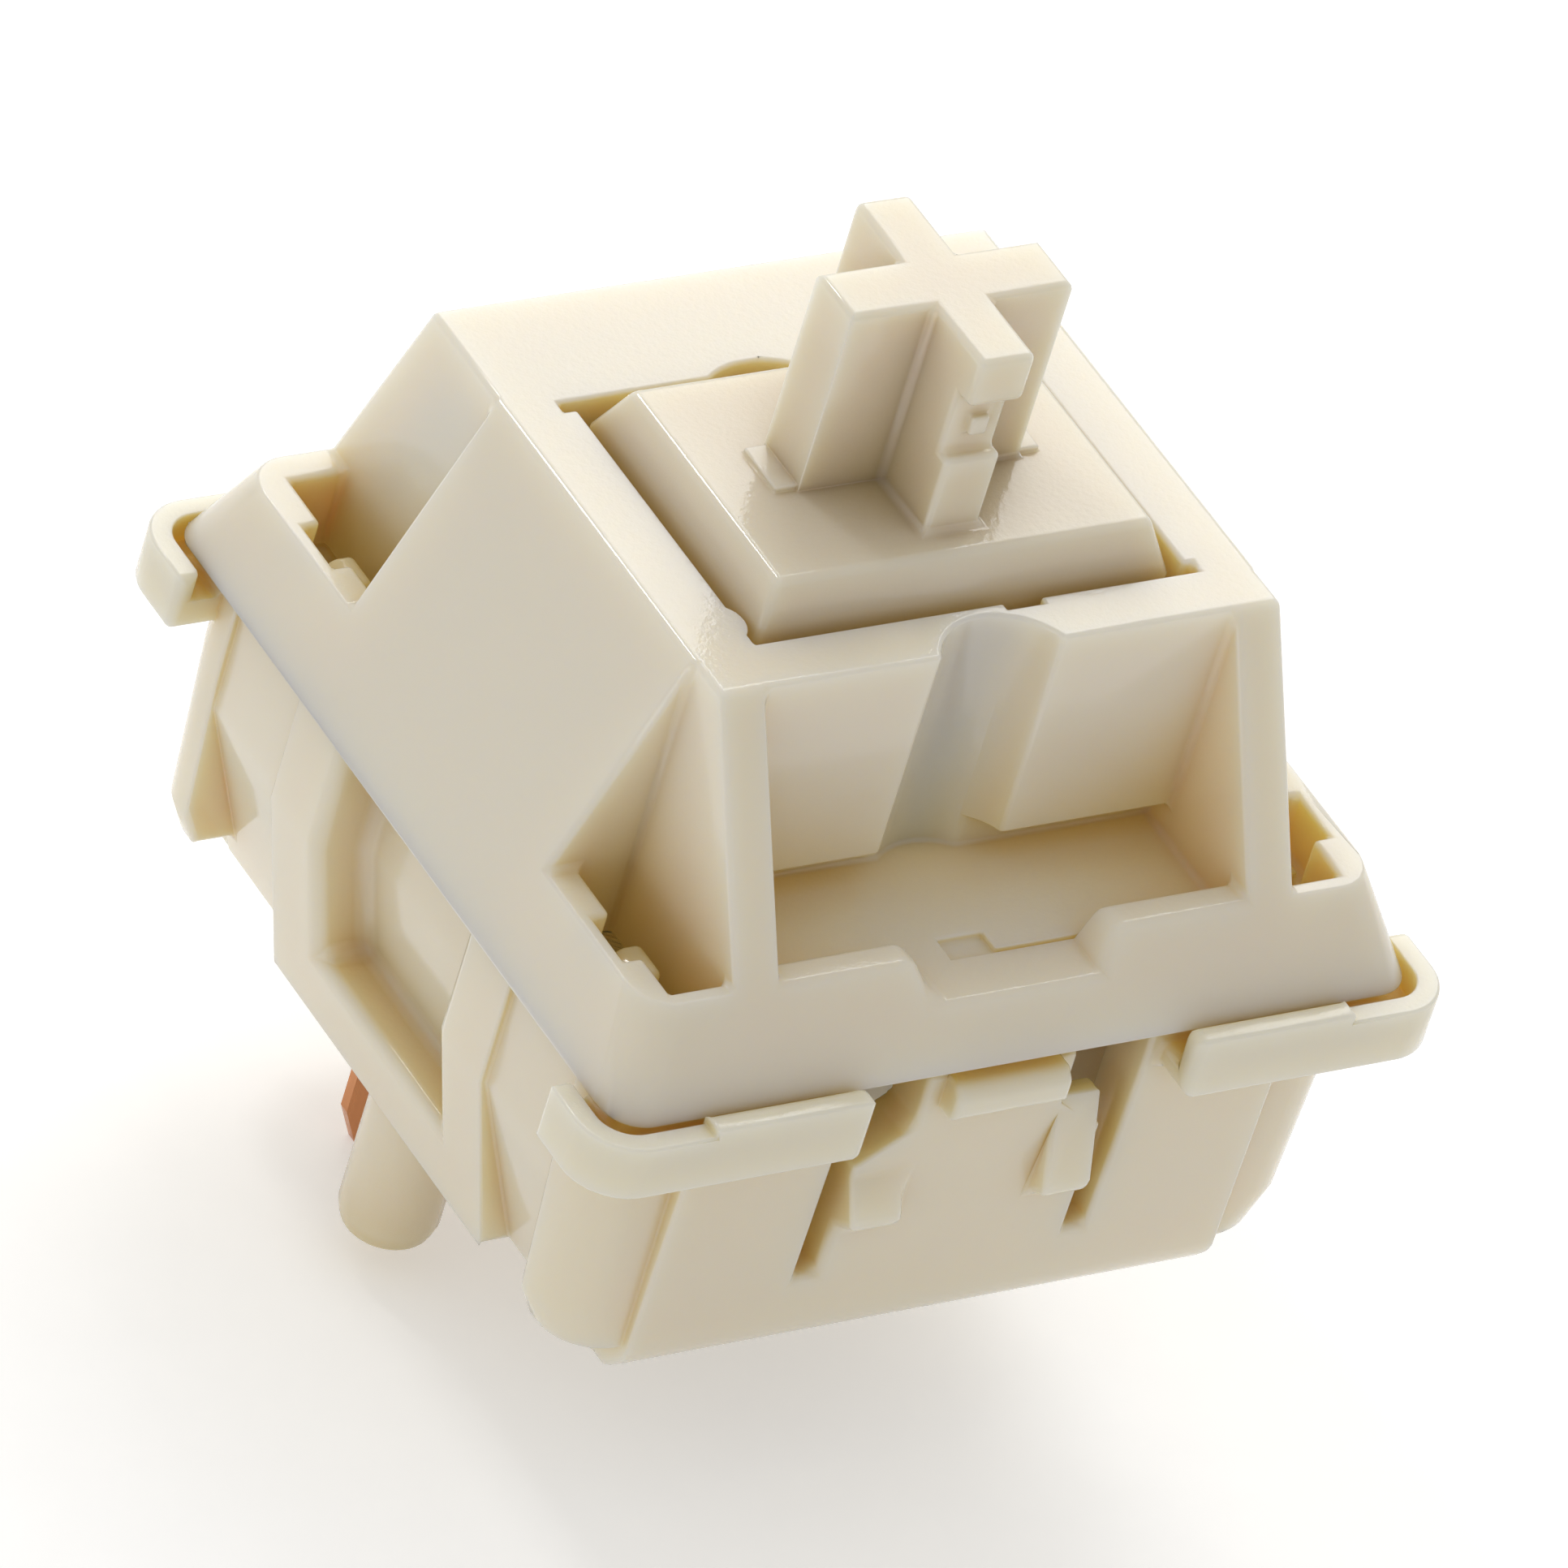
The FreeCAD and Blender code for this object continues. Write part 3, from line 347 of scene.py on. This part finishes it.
class MouldingSettings(bpy.types.PropertyGroup):
    """Sizes and colours of the moulded pieces."""
    cover_edge: bpy.props.FloatProperty(
        name="Cover edge", description="Rounding of the upper housing's edges",
        default=0.12 * MM, unit="LENGTH",
    )
    base_edge: bpy.props.FloatProperty(
        name="Base edge", description="Rounding of the lower housing's softer edges",
        default=0.28 * MM, unit="LENGTH",
    )
    stem_edge: bpy.props.FloatProperty(
        name="Stem edge", description="Rounding of the key stem's edges",
        default=0.13 * MM, unit="LENGTH",
    )
    cover_colour: bpy.props.StringProperty(
        name="Cover colour", description="Upper housing colour as hex", default="#F4EAD9",
    )
    base_colour: bpy.props.StringProperty(
        name="Base colour", description="Lower housing colour as hex", default="#F5EAD5",
    )
    stem_colour: bpy.props.StringProperty(
        name="Stem colour", description="Key stem colour as hex", default="#ECE2CF",
    )


class SpringSettings(bpy.types.PropertyGroup):
    """Sizes of the return spring."""
    turns: bpy.props.IntProperty(name="Turns", description="Turns of the coil", default=11, min=3)
    wire: bpy.props.FloatProperty(
        name="Wire radius", description="Half the thickness of the spring's wire",
        default=0.15 * MM, unit="LENGTH",
    )
    travel: bpy.props.FloatProperty(
        name="Travel", description="How far the stem presses the spring",
        default=4.0 * MM, unit="LENGTH",
    )


class StudioSettings(bpy.types.PropertyGroup):
    """Strengths of the lamps."""
    lamp: bpy.props.FloatProperty(
        name="Lamp strength", description="Scale of all lamps", default=1.0, min=0.0,
    )


# Operators

class SWITCH_OT_housings(bpy.types.Operator):
    """Build the two housing mouldings"""
    bl_idname = "switch.housings"
    bl_label = "Housings"

    def execute(self, context):
        settings = context.scene.switch_moulding
        cover = merged_copy("top_housing", "cover_moulding")
        round_edges(cover, settings.cover_edge, COVER_SOFT)
        # The third colour is the painted amber shade in pockets, mixed in below open_share of ambient
        # occlusion.
        cover_look = moulded_plastic(
            "cream nylon, moulded", settings.cover_colour, "#E6CC84", gloss=0.1, open_share=0.78,
        )
        finish_piece(cover, "housing", "top_housing", cover_look)
        base = merged_copy("bottom_housing", "base_moulding")
        round_edges(base, settings.base_edge)
        # The third colour is the painted amber shade in pockets, mixed in below open_share of ambient
        # occlusion.
        base_look = moulded_plastic(
            "cream nylon base, moulded", settings.base_colour, "#E0C67C", gloss=0.1, open_share=0.86,
        )
        finish_piece(base, "housing", "bottom_housing", base_look)
        return {"FINISHED"}


class SWITCH_OT_stem(bpy.types.Operator):
    """Build the key stem"""
    bl_idname = "switch.stem"
    bl_label = "Key stem"

    def execute(self, context):
        settings = context.scene.switch_moulding
        stem = merged_copy("stem", "key_stem_moulding")
        round_edges(stem, settings.stem_edge)
        # The third colour is a darker painted shade in pockets, which also paints the shadow round the
        # cross, mixed in below open_share of ambient occlusion.
        look = moulded_plastic(
            "off-white acetal, moulded", settings.stem_colour, "#B8A06A", gloss=0.1, open_share=0.84,
        )
        finish_piece(stem, "key_stem", "stem", look)
        return {"FINISHED"}


class SWITCH_OT_spring(bpy.types.Operator):
    """Build the return spring"""
    bl_idname = "switch.spring"
    bl_label = "Return spring"

    def execute(self, context):
        settings = context.scene.switch_spring
        low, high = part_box("return_spring")
        wire = settings.wire
        mesh = coil_mesh(
            "return_coil", low[2] + wire, high[2] - wire, high[0] - wire, wire, settings.turns,
        )
        coil = bpy.data.objects.new("return_coil", mesh)
        context.scene.collection.objects.link(coil)
        steel = rolled_metal("stainless spring wire, drawn", "#BDBDB8", 0.25, (1.0, 1.0, 1.0))
        finish_piece(coil, "housing", "return_spring", steel)
        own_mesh(coil)
        return {"FINISHED"}


class SWITCH_OT_metal(bpy.types.Operator):
    """Finish the contacts"""
    bl_idname = "switch.metal"
    bl_label = "Contacts"

    def execute(self, context):
        copper = rolled_metal("phosphor bronze, rolled", "#C88A5E", 0.3, (1.0, 1.0, 0.05))
        gold = rolled_metal("gold alloy, pressed", "#E0BE6A", 0.22, (1.0, 1.0, 1.0))
        looks = {
            "fixed_contact": copper,
            "moving_contact_terminal": copper,
            "moving_contact_leaf": copper,
            "fixed_contact_bead": gold,
            "moving_contact_bead": gold,
        }
        for name, look in looks.items():
            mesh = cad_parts[name].data
            mesh.materials.clear()
            mesh.materials.append(look)
        return {"FINISHED"}


def add_lamp(name, place, size, power):
    """Add a rectangular soft lamp that faces the switch."""
    data = bpy.data.lights.new(name, "AREA")
    data.shape = "RECTANGLE"
    data.size, data.size_y = size
    data.energy = power
    lamp = bpy.data.objects.new(name, data)
    bpy.context.scene.collection.objects.link(lamp)
    way = Vector(LAMP_TARGET) - Vector(place)
    turn = way.to_track_quat("-Z", "Y").to_matrix().to_4x4()
    lamp.matrix_world = Matrix.Translation(place) @ turn


class SWITCH_OT_studio(bpy.types.Operator):
    """Set the floor, the lamps, the world and the camera"""
    bl_idname = "switch.studio"
    bl_label = "Studio"

    def execute(self, context):
        scene = context.scene
        strength = scene.switch_studio.lamp
        low = cad_box[0][2]
        half = FLOOR_HALF
        mesh = bpy.data.meshes.new("floor")
        corners = [(-half, -half, low), (half, -half, low), (half, half, low), (-half, half, low)]
        mesh.from_pydata(corners, [], [(0, 1, 2, 3)])
        floor = bpy.data.objects.new("floor", mesh)
        scene.collection.objects.link(floor)
        mesh.materials.append(paper_floor("white card"))

        world = bpy.data.worlds.new("studio")
        world.use_nodes = True
        tree = world.node_tree
        tree.nodes.clear()
        paths = node(tree, "LightPath")
        seen = node(tree, "MapRange", {3: SKY_LIGHT, 4: 1.0}, _0=paths.outputs["Is Camera Ray"])
        sky = node(tree, "Background", {"Color": SKY_COLOUR}, Strength=seen.outputs[0])
        node(tree, "OutputWorld", Surface=sky.outputs[0])
        scene.world = world

        for name, place, size, power in LAMPS:
            add_lamp(name, place, size, power * strength)

        camera_data = bpy.data.cameras.new("camera")
        camera_data.sensor_width = SENSOR_WIDTH
        camera_data.lens = SENSOR_WIDTH * FOCAL_PIXELS / PHOTO_PIXELS
        camera_data.clip_start = 0.01
        camera_data.clip_end = 10.0
        camera = bpy.data.objects.new("camera", camera_data)
        scene.collection.objects.link(camera)
        right = Vector(CAMERA_RIGHT).normalized()
        forward = Vector(CAMERA_FORWARD).normalized()
        up = right.cross(forward).normalized()
        turn = Matrix((right, up, -forward)).transposed().to_4x4()
        camera.matrix_world = Matrix.Translation(Vector(CAMERA_PLACE) * MM) @ turn
        scene.camera = camera
        scene.view_settings.view_transform = "Standard"
        return {"FINISHED"}


class SWITCH_PT_panel(bpy.types.Panel):
    """Lists the switch's settings and operators"""
    bl_idname = "SWITCH_PT_panel"
    bl_label = "Key switch"
    bl_space_type = "VIEW_3D"
    bl_region_type = "UI"
    bl_category = "Switch"

    def draw(self, context):
        scene = context.scene
        for settings in (scene.switch_moulding, scene.switch_spring, scene.switch_studio):
            for name in settings.__annotations__:
                self.layout.prop(settings, name)
        for operator in OPERATORS:
            self.layout.operator(operator.bl_idname)


OPERATORS = (SWITCH_OT_housings, SWITCH_OT_stem, SWITCH_OT_spring, SWITCH_OT_metal, SWITCH_OT_studio)
CLASSES = (MouldingSettings, SpringSettings, StudioSettings, *OPERATORS, SWITCH_PT_panel)


def register():
    """Register the classes and hang the settings on the scene."""
    for made in CLASSES:
        bpy.utils.register_class(made)
    bpy.types.Scene.switch_moulding = bpy.props.PointerProperty(type=MouldingSettings)
    bpy.types.Scene.switch_spring = bpy.props.PointerProperty(type=SpringSettings)
    bpy.types.Scene.switch_studio = bpy.props.PointerProperty(type=StudioSettings)


def unregister():
    """Take the settings and the classes away again."""
    del bpy.types.Scene.switch_studio
    del bpy.types.Scene.switch_spring
    del bpy.types.Scene.switch_moulding
    for made in reversed(CLASSES):
        bpy.utils.unregister_class(made)


def main():
    """Build everything in order."""
    register()
    for operator in OPERATORS:
        group, name = operator.bl_idname.split(".")
        getattr(getattr(bpy.ops, group), name)()


if __name__ == "__main__":
    main()
